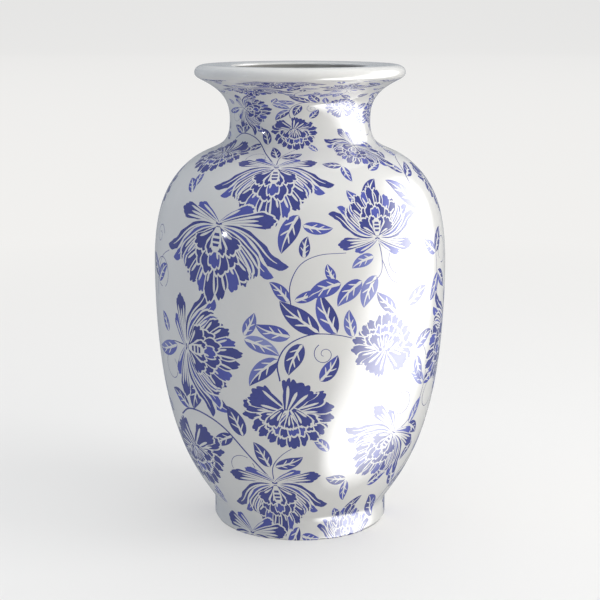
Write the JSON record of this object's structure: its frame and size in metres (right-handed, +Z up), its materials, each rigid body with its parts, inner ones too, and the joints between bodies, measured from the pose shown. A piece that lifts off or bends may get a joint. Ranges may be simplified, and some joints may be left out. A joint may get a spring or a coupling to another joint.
{
  "type": "porcelain vase",
  "caption": "Baluster porcelain vase with a full shoulder, short waisted neck, thick rolled lip and straight foot ring, white glaze painted in cobalt with peonies and leafy scrolls",
  "frame": {"origin": "on the floor at the middle of the foot, which is the middle of the bottom of the bounding box", "axes": "+Z is up along the vase's axis of revolution; -Y is the front, the side that the reference view faces; +X is to the right in that view"},
  "size_m": [0.2246, 0.2246, 0.355],
  "materials": {
    "painted_glaze": "gloss clear glaze over cobalt-blue underglaze painting on white",
    "white_glaze": "gloss white glaze"
  },
  "bodies": {
    "root": {"foot_ring": "painted_glaze", "base_floor": "white_glaze", "lower_body": "painted_glaze", "belly": "painted_glaze", "shoulder": "painted_glaze", "neck": "painted_glaze", "lip": "white_glaze"}
  },
  "joints": []
}
